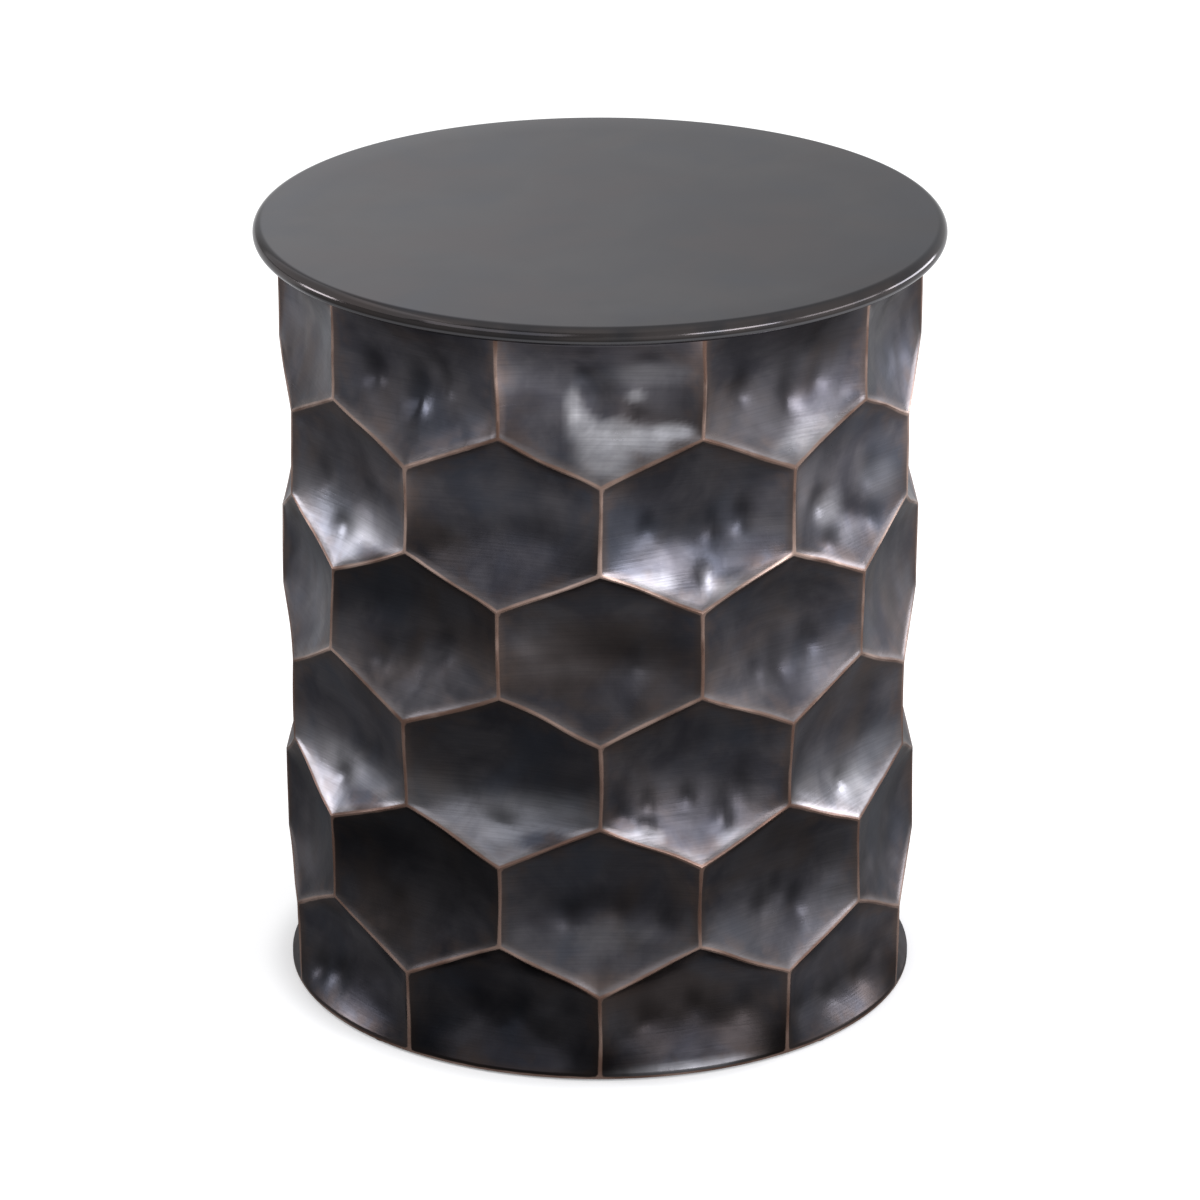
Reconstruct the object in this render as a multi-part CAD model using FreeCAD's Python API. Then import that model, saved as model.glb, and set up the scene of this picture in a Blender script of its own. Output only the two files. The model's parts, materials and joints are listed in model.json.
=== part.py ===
import FreeCAD, Part
import math
import os

# Round storage table: a honeycomb drum of hammered sheet metal, closed by a loose lift-off lid.
# Millimetres. The origin is on the floor at the middle of the drum, +Z is up and -Y is the front.

# Overall sizes
table_height = 480.0         # floor to the top of the lid
drum_diameter = 388.0        # across the ridges of the honeycomb
base_draw_in = 2.0           # how far the drum's round lower edge lies inside the ridges
base_diameter = drum_diameter - 2 * base_draw_in
lid_overhang = 14.0          # how far the lid stands out past the ridges
foot_drop = 1.5              # how far the feet hold the drum's lower edge off the floor

# Honeycomb of the drum
cells_around = 10
cell_rows = 6
top_row_rise = 62.7          # upright ridges of the top row, up to the drum's upper edge
base_row_rise = 53.7         # upright ridges of the bottom row, up from the drum's lower edge
ridge_slant = 28.1           # height that a slanted ridge climbs
dish_depth = 6.0             # how far the middle of a cell is hammered in
bend_softness = 0.6          # how gently a cell bends towards its two tips
flare_height = 32.0          # height over which a cut cell opens out to a round edge
points_across = 5            # points across half a cell and up a cell that its surface runs through
points_up = 9

# Sheet and bar stock
drum_sheet = 1.2
lid_sheet = 1.0
edge_ring_bar = 3.0          # flat rings welded into both edges, and the plain bands that hold them
mouth_ring_width = 15.5
base_ring_width = 34.0
weld_gap = 0.1               # between a ring and the sheet around it

# Storage floor
floor_board_thickness = 6.0
floor_clearance = 1.0        # round the floor board as it drops in through the mouth
floor_screw_count = 4
floor_screw_bite = 4.5       # how far the screws go into the floor board

# Feet
foot_count = 4
foot_head_diameter = 14.0
foot_neck_diameter = 6.0
foot_barb_diameter = 8.4
foot_barb_height = 4.0
foot_neck_clearance = 0.2

# Lid
lid_thickness = 11.6
hem_clearance = 1.5          # between the folded hem of the lid and the drum
glue_line = 0.3              # between the edge of the lid's core and the sheet folded round it
locating_clearance = 1.5     # between the locating ring and what it drops into
locating_bar = 2.0
locating_depth = 20.0
ear_count = 4
ear_length = 17.0
ear_width = 18.0
ear_screw_bite = 6.0         # how far the screws go into the lid's core
bumper_count = 4
bumper_diameter = 9.0
bumper_thickness = 1.2

# Screws
screw_diameter = 4.0
screw_head_diameter = 8.0
screw_head_height = 2.2
screw_hole_clearance = 0.4
thread_clearance = 0.05
recess_width = 0.9
recess_length = 4.4
recess_depth = 1.2

# Heights and radii that follow from the sizes above
drum_radius = drum_diameter / 2
base_radius = base_diameter / 2
lid_radius = drum_radius + lid_overhang
lid_underside = table_height - lid_thickness
core_underside = lid_underside + lid_sheet
rim_height = core_underside - bumper_thickness
base_edge = foot_drop
base_ring_top = base_edge + edge_ring_bar
mouth_ring_underside = rim_height - edge_ring_bar

half_angle = math.pi / cells_around
ridge_half = drum_radius * math.sin(half_angle)    # half the width of a cell between its ridges
facet_radius = drum_radius * math.cos(half_angle)  # from the axis to the flat between two ridges
tip_reach = drum_radius - facet_radius             # how far a cell's tips stand out past that flat
ridge_slope = ridge_slant / ridge_half
lowest_zigzag = base_edge + base_row_rise
highest_zigzag = rim_height - top_row_rise - ridge_slant
row_pitch = (highest_zigzag - lowest_zigzag) / (cell_rows - 2)

mouth_ring_outer = drum_radius - drum_sheet - weld_gap
mouth_radius = mouth_ring_outer - mouth_ring_width
base_ring_outer = base_radius - drum_sheet - weld_gap
base_ring_inner = base_ring_outer - base_ring_width
inner_wall_radius = facet_radius - dish_depth - drum_sheet
clear_radius = min(mouth_radius, inner_wall_radius)
floor_board_radius = clear_radius - floor_clearance
locating_radius = clear_radius - locating_clearance
foot_circle = (floor_board_radius + base_ring_outer) / 2
floor_screw_circle = (base_ring_inner + floor_board_radius) / 2
bumper_circle = (mouth_radius + mouth_ring_outer) / 2
ear_screw_circle = locating_radius - locating_bar - ear_length / 2

up = FreeCAD.Vector(0, 0, 1)
centre = FreeCAD.Vector(0, 0, 0)


def save(shape, node):
    shape.exportStep("parts/" + node + ".step")


def disc(radius, bottom, height):
    return Part.makeCylinder(radius, height, FreeCAD.Vector(0, 0, bottom))


def flat_ring(outer, inner, bottom, height):
    return disc(outer, bottom, height).cut(disc(inner, bottom, height))


def rounded_disc(radius, bottom, height):
    """A disc whose whole edge is a half round."""
    edge = height / 2
    low = FreeCAD.Vector(radius - edge, 0, bottom)
    middle = FreeCAD.Vector(radius, 0, bottom + edge)
    high = FreeCAD.Vector(radius - edge, 0, bottom + height)
    axis_high = FreeCAD.Vector(0, 0, bottom + height)
    axis_low = FreeCAD.Vector(0, 0, bottom)
    outline = Part.Wire([
        Part.makeLine(axis_low, low),
        Part.Arc(low, middle, high).toShape(),
        Part.makeLine(high, axis_high),
        Part.makeLine(axis_high, axis_low),
    ])
    return Part.Face(outline).revolve(centre, up, 360)


def angles(count):
    """Evenly spaced angles in degrees, clear of the front."""
    return [360.0 * (i + 0.5) / count for i in range(count)]


def around(shape, angle):
    turned = shape.copy()
    turned.rotate(centre, up, angle)
    return turned


def ring_of(shape, count):
    return [around(shape, angle) for angle in angles(count)]


def post(circle, bottom, height, diameter):
    """An upright cylinder on the X axis at the given distance from the middle."""
    return Part.makeCylinder(diameter / 2, height, FreeCAD.Vector(circle, 0, bottom))


class CellRow:
    """One row of honeycomb cells: the heights of its tips and shoulders, and how it is cut."""

    def __init__(self, low_tip, low_shoulder, high_shoulder, high_tip, round_low, round_high):
        self.low_tip = low_tip
        self.low_shoulder = low_shoulder
        self.high_shoulder = high_shoulder
        self.high_tip = high_tip
        self.round_low = round_low
        self.round_high = round_high
        # The deepest place is halfway up a whole cell, and a third of the way in from a round edge.
        share = 0.5
        if round_low:
            share = 1 / 3
        if round_high:
            share = 2 / 3
        self.deepest = self.bubble(0, low_tip + share * (high_tip - low_tip))

    def low_edge(self, x):
        return self.low_tip if self.round_low else self.low_tip + ridge_slope * abs(x)

    def high_edge(self, x):
        return self.high_tip if self.round_high else self.high_tip - ridge_slope * abs(x)

    def bubble(self, x, z):
        """Zero along every edge of the cell and smooth in between."""
        below = z - self.low_tip
        above = self.high_tip - z
        if not self.round_low:
            below = below ** 2 - (ridge_slope * x) ** 2
        if not self.round_high:
            above = above ** 2 - (ridge_slope * x) ** 2
        return max(below * above * (ridge_half ** 2 - x ** 2), 0.0)

    def point(self, across, rise, inset):
        """A point of the sheet, across from -1 to 1 and rise from 0 to 1, set in behind its face."""
        x = across * ridge_half
        z = self.low_edge(x) + rise * (self.high_edge(x) - self.low_edge(x))
        depth = self.bubble(x, z) / self.deepest
        y = facet_radius - dish_depth * (1 - (1 - depth) ** 2)
        round_out = math.sqrt(drum_radius ** 2 - x ** 2) - facet_radius
        softness = bend_softness * depth
        if self.round_low:
            y += round_out * max(0.0, 1 - (z - self.low_tip) / flare_height) ** 2
        else:
            y += tip_reach * rounded_ramp((self.low_shoulder - z) / ridge_slant, softness)
        if self.round_high:
            y += round_out * max(0.0, 1 - (self.high_tip - z) / flare_height) ** 2
        else:
            y += tip_reach * rounded_ramp((z - self.high_shoulder) / ridge_slant, softness)
        scale = self.taper(z) - inset / drum_radius
        return FreeCAD.Vector(x * scale, -y * scale, z)

    def taper(self, z):
        """Draws the bottom row in to the round foot."""
        if not self.round_low or z > self.high_shoulder:
            return 1.0
        fall = (self.high_shoulder - z) / (self.high_shoulder - self.low_tip)
        return 1 - (1 - base_radius / drum_radius) * fall ** 2

    def half_surface(self, side, inset):
        """The left (-1) or right (1) half of a cell, from its middle line out to its ridge."""
        grid = []
        for i in range(points_across):
            across = side * i / (points_across - 1)
            grid.append([self.point(across, j / (points_up - 1), inset) for j in range(points_up)])
        surface = Part.BSplineSurface()
        surface.interpolate(grid)
        return surface


def rounded_ramp(t, softness):
    """Zero below t = 0 and t above it, with the corner rounded off."""
    return (t + math.hypot(t, softness)) / 2


def honeycomb_rows():
    """The rows from the foot up, with the angle that each row's cells are turned by."""
    rows = []
    for i in range(cell_rows):
        zigzag_below = lowest_zigzag + (i - 1) * row_pitch
        zigzag_above = zigzag_below + row_pitch
        low_tip = zigzag_below
        high_tip = zigzag_above + ridge_slant
        if i == 0:
            low_tip = base_edge + edge_ring_bar
        if i == cell_rows - 1:
            high_tip = rim_height - edge_ring_bar
        row = CellRow(low_tip, zigzag_below + ridge_slant, zigzag_above, high_tip,
                      i == 0, i == cell_rows - 1)
        turn = 0.5 if i % 2 == 0 else 0.0
        rows.append((row, turn))
    return rows


def round_edge(surface, top, lift):
    """The lower or upper edge of a half cell's surface, lifted straight up."""
    first, last = surface.bounds()[2:]
    curve = surface.vIso(last if top else first)
    curve.translate(FreeCAD.Vector(0, 0, lift))
    return curve.toShape()


def edge_band(skins, top):
    """The plain bands of both skins past a round edge, and the rim that joins them."""
    lift = edge_ring_bar if top else -edge_ring_bar
    bands = [Part.makeRuledSurface(round_edge(skin, top, 0), round_edge(skin, top, lift))
             for skin in skins]
    rim = Part.makeRuledSurface(*[round_edge(skin, top, lift) for skin in skins])
    return bands + [rim]


def drum_shell():
    """The whole pressed sheet: an outer and an inner skin, joined along both round edges."""
    faces = []
    for row, turn in honeycomb_rows():
        cell_faces = []
        for side in (-1, 1):
            skins = [row.half_surface(side, inset) for inset in (0.0, drum_sheet)]
            cell_faces += [skin.toShape() for skin in skins]
            if row.round_low or row.round_high:
                cell_faces += edge_band(skins, row.round_high)
        for i in range(cells_around):
            angle = math.degrees(2 * half_angle) * (i + turn)
            faces += [around(face, angle) for face in cell_faces]
    sheet = Part.makeCompound(faces)
    sheet.sewShape()
    return Part.Solid(sheet.Shells[0])


def mouth_ring():
    """Flat ring welded inside the drum's upper edge, which stiffens it and carries the lid."""
    return flat_ring(mouth_ring_outer, mouth_radius, mouth_ring_underside, edge_ring_bar)


def base_ring():
    """Flat ring welded inside the lower edge, with holes for the feet and countersunk screws."""
    ring = flat_ring(base_ring_outer, base_ring_inner, base_edge, edge_ring_bar)
    neck_hole = foot_neck_diameter + 2 * foot_neck_clearance
    holes = ring_of(post(foot_circle, base_edge, edge_ring_bar, neck_hole), foot_count)
    holes += ring_of(floor_screw(screw_hole_clearance / 2), floor_screw_count)
    return ring.cut(Part.makeCompound(holes))


def floor_board():
    board = disc(floor_board_radius, base_ring_top, floor_board_thickness)
    holes = ring_of(floor_screw(thread_clearance), floor_screw_count)
    return board.cut(Part.makeCompound(holes))


def recess(bottom):
    """Cross recess of a screw at the middle, cut up from the given height."""
    bars = []
    for size_x, size_y in ((recess_length, recess_width), (recess_width, recess_length)):
        corner = FreeCAD.Vector(-size_x / 2, -size_y / 2, bottom)
        bars.append(Part.makeBox(size_x, size_y, recess_depth, corner))
    return bars[0].fuse(bars[1])


def floor_screw(clearance):
    """Countersunk screw under the base ring, or its hole when given a clearance."""
    shank_radius = screw_diameter / 2 + clearance
    head_radius = screw_head_diameter / 2 + clearance
    head = Part.makeCone(head_radius, shank_radius, screw_head_height)
    shank = Part.makeCylinder(shank_radius, edge_ring_bar + floor_screw_bite + clearance)
    screw = head.fuse(shank)
    if clearance == 0:
        screw = screw.cut(recess(0))
    screw.translate(FreeCAD.Vector(floor_screw_circle, 0, base_edge))
    return screw


def foot():
    """Push-in rubber foot: a low head on the floor, a neck through the base ring and a barb."""
    head = post(foot_circle, 0, foot_drop, foot_head_diameter)
    neck = post(foot_circle, foot_drop, edge_ring_bar, foot_neck_diameter)
    barb = Part.makeCone(foot_barb_diameter / 2, foot_neck_diameter / 2, foot_barb_height)
    barb.translate(FreeCAD.Vector(foot_circle, 0, base_ring_top))
    return head.fuse([neck, barb]).removeSplitter()


def lid_skin():
    """Sheet-metal top: flat, folded round the core's edge and hemmed under it."""
    skin = rounded_disc(lid_radius, lid_underside, lid_thickness)
    pocket = rounded_disc(lid_radius - lid_sheet, core_underside, lid_thickness - 2 * lid_sheet)
    hem_opening = disc(drum_radius + hem_clearance, lid_underside, lid_sheet)
    return skin.cut(pocket).cut(hem_opening)


def lid_core():
    core_radius = lid_radius - lid_sheet - glue_line
    core = rounded_disc(core_radius, core_underside, lid_thickness - 2 * lid_sheet)
    holes = ring_of(ear_screw(thread_clearance), ear_count)
    return core.cut(Part.makeCompound(holes))


def locating_ring():
    """Hoop that drops into the drum's mouth, with ears turned in to screw it to the core."""
    bottom = core_underside - locating_depth
    hoop = flat_ring(locating_radius, locating_radius - locating_bar, bottom, locating_depth)
    ear_end = locating_radius - locating_bar - ear_length
    reach = ear_length + locating_bar / 2
    corner = FreeCAD.Vector(ear_end, -ear_width / 2, core_underside - locating_bar)
    ear = Part.makeBox(reach, ear_width, locating_bar, corner)
    hole = screw_diameter + screw_hole_clearance
    ear = ear.cut(post(ear_screw_circle, core_underside - locating_bar, locating_bar, hole))
    return hoop.fuse(ring_of(ear, ear_count)).removeSplitter()


def ear_screw(clearance):
    """Pan-head screw up through an ear into the core, or its hole when given a clearance."""
    shank_length = locating_bar + ear_screw_bite + clearance
    seat = core_underside - locating_bar
    screw = post(ear_screw_circle, seat, shank_length, screw_diameter + 2 * clearance)
    if clearance == 0:
        head = post(ear_screw_circle, seat - screw_head_height, screw_head_height, screw_head_diameter)
        slot = recess(seat - screw_head_height)
        slot.translate(FreeCAD.Vector(ear_screw_circle, 0, 0))
        screw = screw.fuse(head).removeSplitter().cut(slot)
    return screw


def lid_bumper():
    """Rubber dot under the lid's core that rests on the mouth ring."""
    return post(bumper_circle, rim_height, bumper_thickness, bumper_diameter)


os.makedirs("parts", exist_ok=True)
save(drum_shell(), "drum_shell")
save(mouth_ring(), "mouth_ring")
save(base_ring(), "base_ring")
save(floor_board(), "floor_board")
save(Part.makeCompound(ring_of(floor_screw(0), floor_screw_count)), "floor_screws")
for number, piece in enumerate(ring_of(foot(), foot_count), 1):
    save(piece, "foot_%d" % number)
save(lid_skin(), "lid_skin")
save(lid_core(), "lid_core")
save(locating_ring(), "lid_locating_ring")
save(Part.makeCompound(ring_of(ear_screw(0), ear_count)), "lid_ring_screws")
for number, piece in enumerate(ring_of(lid_bumper(), bumper_count), 1):
    save(piece, "lid_bumper_%d" % number)
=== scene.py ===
import json
import math

import bpy
import numpy as np
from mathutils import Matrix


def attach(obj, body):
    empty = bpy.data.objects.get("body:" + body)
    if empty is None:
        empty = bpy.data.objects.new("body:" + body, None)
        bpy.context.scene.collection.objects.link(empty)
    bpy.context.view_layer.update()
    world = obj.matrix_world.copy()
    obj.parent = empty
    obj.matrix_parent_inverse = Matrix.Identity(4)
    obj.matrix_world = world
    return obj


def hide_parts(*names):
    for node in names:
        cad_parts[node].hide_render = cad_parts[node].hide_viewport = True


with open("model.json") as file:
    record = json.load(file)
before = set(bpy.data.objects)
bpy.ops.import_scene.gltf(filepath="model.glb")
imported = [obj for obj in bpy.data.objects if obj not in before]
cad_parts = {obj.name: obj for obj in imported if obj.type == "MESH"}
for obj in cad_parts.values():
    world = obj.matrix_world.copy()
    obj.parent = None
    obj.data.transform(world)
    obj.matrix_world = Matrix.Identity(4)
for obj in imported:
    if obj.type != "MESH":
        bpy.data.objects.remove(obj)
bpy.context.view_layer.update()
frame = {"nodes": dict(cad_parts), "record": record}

# The looks of a drum table: a hammered honeycomb sheet and a smooth lid, each drawn finer than its
# solid, finishes for all the other solids, and a plain studio round it.

# Sizes in metres, the same as the solids' unless a line says otherwise. The origin is on the floor, +Z
# is up and -Y is the front.
DRUM_RADIUS = 0.194
BASE_RADIUS = 0.192
BASE_EDGE = 0.0015
RIM_HEIGHT = 0.4682
EDGE_BAND = 0.003
SHEET = 0.0012
CELLS_AROUND = 10
CELL_ROWS = 6
TOP_ROW_RISE = 0.0627
BASE_ROW_RISE = 0.0537
RIDGE_SLANT = 0.0281
DISH_DEPTH = 0.006
RIDGE_BEAD = 0.0005   # a raised line along the ridges, which the solids leave out
RIDGE_WIDTH = 0.0020

LID_RADIUS = 0.2079   # a hair inside the solid's, which is 0.208
LID_TOP = 0.480
LID_THICKNESS = 0.0116
LID_SHEET = 0.001
HEM_RADIUS = 0.1955
LID_RINGS = (0.3, 0.6, 0.85)   # rings of the flat faces, as shares of the radius
LID_SEGMENTS = 240
EDGE_STEPS = 24

# How finely a cell is divided: half its width, and its height. Both are even.
STEPS_ACROSS = 20
STEPS_UP = 32
RIDGE_STEPS = (0.0, 0.0011, 0.0026)   # closer lines along the ridges
RISE_CROWDING = 1.12   # more of the steps lie in the lower part, where the hammer marks are
MERGE_STEP = 1e-5
MERGE_SHIFT = 1.7e-6   # keeps points that neighbouring cells share off the edge of a step
DRUM_CREASE = math.radians(70)
LID_CREASE = math.radians(40)

# Hand-work that changes the pattern: the wander of the ridges sideways, outwards and upwards, and how
# far the pattern has crept round low on the left. A wave is given as waves round the drum, radians per
# metre of height and its start. The wander is full between two heights and ends at the round edges.
WANDER = (0.0005, 0.0003, 0.0005)
SIDEWAYS_WAVES = ((7, 41, 0.0), (-13, 67, 1.3))
OUTWARD_WAVES = ((11, -53, 0.7),)
UPWARD_WAVES = ((9, 29, 2.1), (17, -61, 0.4))
WANDER_HEIGHTS = (0.03, 0.44)
CREEP = 0.009
CREEP_ANGLE = math.radians(60)   # to the left of the front, where it is largest
CREEP_TIGHTNESS = 14   # a larger value keeps it closer to that angle
CREEP_HEIGHTS = (0.40, 0.18)   # none above the first height and all of it below the second

# Random blows, for the cells that the front doesn't show. Lengths are ranges in metres, and the last
# three ranges are of the same kind as the first values of FRONT_CELLS.
SEED = 4207
BLOW_COUNT = (3, 5)   # 3 or 4
BLOW_REACH = 0.58   # to each side, as a share of half the cell's width
BLOW_SCATTER = 0.0035
BLOW_RISE = (0.018, 0.034)
BLOW_WIDTH = (0.0050, 0.0080)
BLOW_UP = (0.010, 0.020)
BLOW_DOWN = (0.0050, 0.0080)
BLOW_DEPTH = (0.0008, 0.0018)
RANDOM_LOWNESS = (-0.3, 0.4)
RANDOM_BURNISH_AND_HIGHLIGHT = (0.0, 0.3)
RANDOM_PALENESS = (0.7, 1.3)

# Faint marks on every cell, the broad ones first and then the fine ones. Where they lie is given in
# shares of the cell, and their size and depth in metres.
MARK_COUNT = 16
BROAD_COUNT = 6
MARK_REACH = 0.85
MARK_BOTTOM = 0.1
BROAD_TOP, FINE_TOP = 0.9, 0.6
BROAD_SIZE, FINE_SIZE = (0.011, 0.020), (0.0050, 0.0085)
BROAD_DEPTH, FINE_DEPTH = 0.00035, 0.00022

# Marks grow from nothing to their full depth over these distances from a ridge. Painted shade darkens
# the colour in the upper part of a mark, which faces down: where in its reach up, over how much of it,
# how dark at most, and the depth that makes it dark.
MARK_EDGES = (0.0015, 0.012)
SHADE_RISE, SHADE_REACH = 0.5, 0.8
SHADE_STRENGTH, SHADE_DEPTH = 0.5, 0.0015

# What the material is told of each point: shares of a cell's height over which the paleness and the
# burnish change (the burnish is strongest low in a cell, where it is partly a painted highlight), the
# wear along a cell's lower ridges, and the two scales that bring facts below 1.
PALE_RISE = (0.15, 0.75)
BURNISH_AND_HIGHLIGHT_RISE = (0.55, 0.12)
PATCH_PALENESS = 0.5
LOW_EDGE_WEAR, LOW_EDGE_REACH = 0.3, 0.0035
FAR_FROM_RIDGE = 0.03
PALEST = 2.0

# Where the unrolled faces lie on the sheet that the looks are baked to.
FLAT_MARGIN = 0.01
OUTER_SHELF, INNER_SHELF = (0.27, 0.98), (0.02, 0.22)

# The hammer's work on the cells seen from the front, by row from the bottom and by cell from the
# front to the right. First how low the hollow lies, how pale the patina is low and high in the cell
# and how far it is burnished low down, partly as a painted highlight, then the dents: across, up
# from the cell's lowest point, width, reach up, reach down (mm) and depth (tenths of a mm). The
# other cells get random blows.
FRONT_CELLS = {
    (5, 8): (-0.8, 1.0, 1.0, 0.0, [(-34, 28, 9, 12, 8, 6)]),
    (5, 9): (-0.1, 1.25, 1.5, 0.05, [(-32, 46, 7, 13, 6, 26), (-1, 36, 7, 18, 8, 32),
                                     (19, 48, 5, 13, 5, 18), (12, 62, 7, 10, 8, 10)]),
    (5, 0): (0.0, 0.9, 2.2, 0.0, [(2, 50, 9, 10, 8, 12), (21, 41, 6, 7, 5, 9), (-9, 65, 7, 6, 4, 11),
                                  (-8, 79, 6, 5, 4, 9), (28, 75, 8, 6, 4, 11)]),
    (5, 1): (-0.1, 1.25, 0.9, 0.05, [(-31, 46, 7, 13, 6, 26), (4, 36, 7, 18, 8, 20),
                                     (26, 44, 5, 13, 5, 9), (20, 66, 7, 10, 8, 10)]),
    (5, 2): (-1.0, 0.75, 0.75, 0.0, [(20, 30, 9, 12, 8, 5)]),
    (4, 8): (0.3, 1.1, 1.4, 0.25, [(-6, 21, 9, 8, 6, 20), (-30, 46, 9, 14, 9, 12),
                                   (20, 44, 12, 14, 8, 9)]),
    (4, 9): (-1.0, 0.6, 1.4, 0.0, [(10, 42, 26, 12, 12, 5), (-34, 36, 8, 14, 10, 4)]),
    (4, 0): (-0.1, 1.1, 1.0, 0.05, [(-4, 36, 22, 22, 15, 20), (-30, 50, 5, 10, 6, 14),
                                    (10, 46, 4, 10, 6, 16), (29, 51, 5, 12, 8, 18),
                                    (5, 20, 5, 7, 7, -15)]),
    (4, 1): (-0.9, 1.1, 1.8, 0.0, [(2, 34, 9, 9, 7, 14), (-24, 22, 7, 7, 5, 15), (-30, 48, 8, 9, 6, 14),
                                   (28, 50, 9, 12, 8, 12), (20, 26, 8, 8, 6, 12)]),
    (3, 8): (-0.4, 1.2, 1.2, 0.0, [(-20, 34, 9, 12, 8, 6)]),
    (3, 9): (-0.3, 1.35, 0.6, 0.1, [(-6, 33, 8, 16, 8, 15), (-24, 30, 6, 12, 7, 13),
                                    (18, 44, 7, 14, 7, 13)]),
    (3, 0): (-0.7, 0.7, 1.0, 0.0, [(15, 46, 38, 16, 8, 14), (20, 47, 5, 8, 5, 8),
                                   (-25, 28, 16, 12, 9, 6)]),
    (3, 1): (-0.1, 1.1, 1.0, 0.05, [(-2, 30, 8, 16, 8, 18), (-18, 30, 6, 10, 7, 15),
                                    (22, 42, 7, 12, 6, 16)]),
    (3, 2): (-0.4, 1.2, 1.2, 0.0, [(16, 30, 9, 12, 8, 5)]),
    (2, 8): (0.4, 1.3, 1.4, 0.25, [(-5, 22, 8, 7, 5, 16), (24, 40, 14, 16, 9, 9)]),
    (2, 9): (0.4, 0.9, 0.7, 0.3, [(-1, 23, 8, 8, 5, 17), (-26, 40, 10, 14, 8, 9),
                                  (24, 44, 14, 14, 10, 9)]),
    (2, 0): (-0.2, 0.7, 0.9, 0.0, [(-29, 38, 4, 9, 4, 14), (-4, 38, 4, 9, 4, 15),
                                   (-31, 25, 5, 8, 5, 16), (16, 26, 6, 16, 7, 16),
                                   (-46, 33, 6, 8, 5, 15), (30, 40, 6, 14, 8, 12)]),
    (2, 1): (0.4, 1.2, 1.4, 0.3, [(-4, 25, 8, 7, 5, 17), (26, 46, 14, 14, 9, 9)]),
    (1, 8): (-0.4, 1.2, 1.2, 0.0, [(-20, 34, 9, 12, 8, 6)]),
    (1, 9): (-0.5, 0.7, 0.35, 0.0, [(-18, 32, 10, 14, 10, 9), (14, 38, 9, 12, 9, 7)]),
    (1, 0): (-0.2, 0.95, 0.9, 0.05, [(-18, 43, 6, 10, 6, 15), (12, 47, 6, 8, 5, 12),
                                     (40, 41, 8, 10, 7, 16), (0, 52, 38, 10, 8, 8)]),
    (1, 1): (0.0, 1.0, 0.8, 0.1, [(-12, 40, 6, 12, 7, 15), (15, 36, 6, 12, 7, 17),
                                  (0, 48, 6, 12, 7, 12)]),
    (1, 2): (-0.4, 1.2, 1.2, 0.0, [(16, 30, 9, 12, 8, 5)]),
    (0, 8): (-0.3, 0.8, 1.3, 0.0, [(-14, 17, 8, 10, 9, 20), (-36, 14, 8, 10, 8, 17)]),
    (0, 9): (-0.5, 0.30, 0.60, 0.0, [(-46, 20, 9, 14, 10, 9), (24, 14, 12, 9, 7, 6),
                                     (-18, 32, 7, 12, 8, 13), (8, 30, 6, 10, 7, 13),
                                     (40, 34, 7, 12, 8, 11)]),
    (0, 0): (-0.7, 0.22, 1.2, 0.0, [(10, 20, 24, 12, 8, 6), (-30, 30, 6, 12, 7, 12),
                                    (2, 34, 6, 10, 7, 12), (34, 30, 7, 12, 8, 12)]),
    (0, 1): (-0.3, 0.75, 1.8, 0.0, [(-42, 20, 8, 10, 9, 15), (-10, 16, 10, 9, 7, 13),
                                    (20, 17, 9, 8, 7, 11)]),
}
# Burnished patches of those cells: across, up from the lowest point, width, height (mm) and strength.
# A strength below 0 makes the patch darker.
BURNISHED = {
    (5, 0): [(3, 17, 17, 11, 0.9), (9, 29, 15, 9, 0.8), (-15, 47, 5, 11, 0.5), (-10, 33, 9, 11, 0.6),
             (29, 26, 12, 8, 0.8), (43, 32, 12, 5, 0.8), (21, 51, 5, 5, 0.4), (3, 46, 8, 8, -0.6),
             (20, 41, 5, 5, -0.5), (26, 66, 26, 8, 0.2), (-36, 62, 22, 15, 0.1),
             (-40, 40, 16, 14, -0.3)],
    (5, 1): [(22, 16, 22, 8, 0.3), (0, 10, 16, 7, 0.3), (14, 44, 18, 10, -0.3)],
    (4, 0): [(-32, 19, 18, 6, 0.45), (-8, 7, 12, 5, 0.15), (18, 11, 14, 6, 0.3),
             (-2, 27, 16, 12, -0.25), (5, 19, 4, 6, 0.4), (45, 30, 12, 8, -0.5)],
    (4, 1): [(-20, 42, 16, 10, 0.35), (-6, 26, 14, 8, 0.1), (34, 46, 18, 12, 0.15)],
    (4, 8): [(12, 22, 24, 12, 0.3), (30, 17, 20, 6, -0.5)],
    (3, 0): [(18, 62, 38, 12, -0.55), (-38, 64, 14, 12, 0.05), (0, 43, 44, 5, 0.05),
             (-5, 88, 40, 11, 0.1)],
    (2, 9): [(-6, 27, 28, 13, 0.2), (30, 17, 20, 6, -0.5), (20, 38, 24, 8, 0.2)],
    (2, 0): [(-34, 20, 18, 6, 0.4), (-8, 7, 12, 5, 0.1), (26, 14, 18, 6, 0.3), (-4, 26, 18, 13, -0.6)],
    (2, 1): [(0, 20, 28, 13, 0.25)],
    (2, 8): [(-6, 34, 24, 10, 0.25), (28, 16, 20, 7, -0.6)],
    (1, 0): [(0, 36, 34, 9, 0.12)],
    (0, 0): [(-12, -1, 48, 5, 0.9), (0, 22, 44, 10, -0.5)],
}

half_angle = math.pi / CELLS_AROUND
ridge_half = DRUM_RADIUS * math.sin(half_angle)
facet_radius = DRUM_RADIUS * math.cos(half_angle)
tip_reach = DRUM_RADIUS - facet_radius
ridge_slope = RIDGE_SLANT / ridge_half
lowest_zigzag = BASE_EDGE + BASE_ROW_RISE
highest_zigzag = RIM_HEIGHT - TOP_ROW_RISE - RIDGE_SLANT
row_pitch = (highest_zigzag - lowest_zigzag) / (CELL_ROWS - 2)


def smoothstep(low, high, value):
    t = np.clip((value - low) / (high - low), 0.0, 1.0)
    return t * t * (3 - 2 * t)


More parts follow.
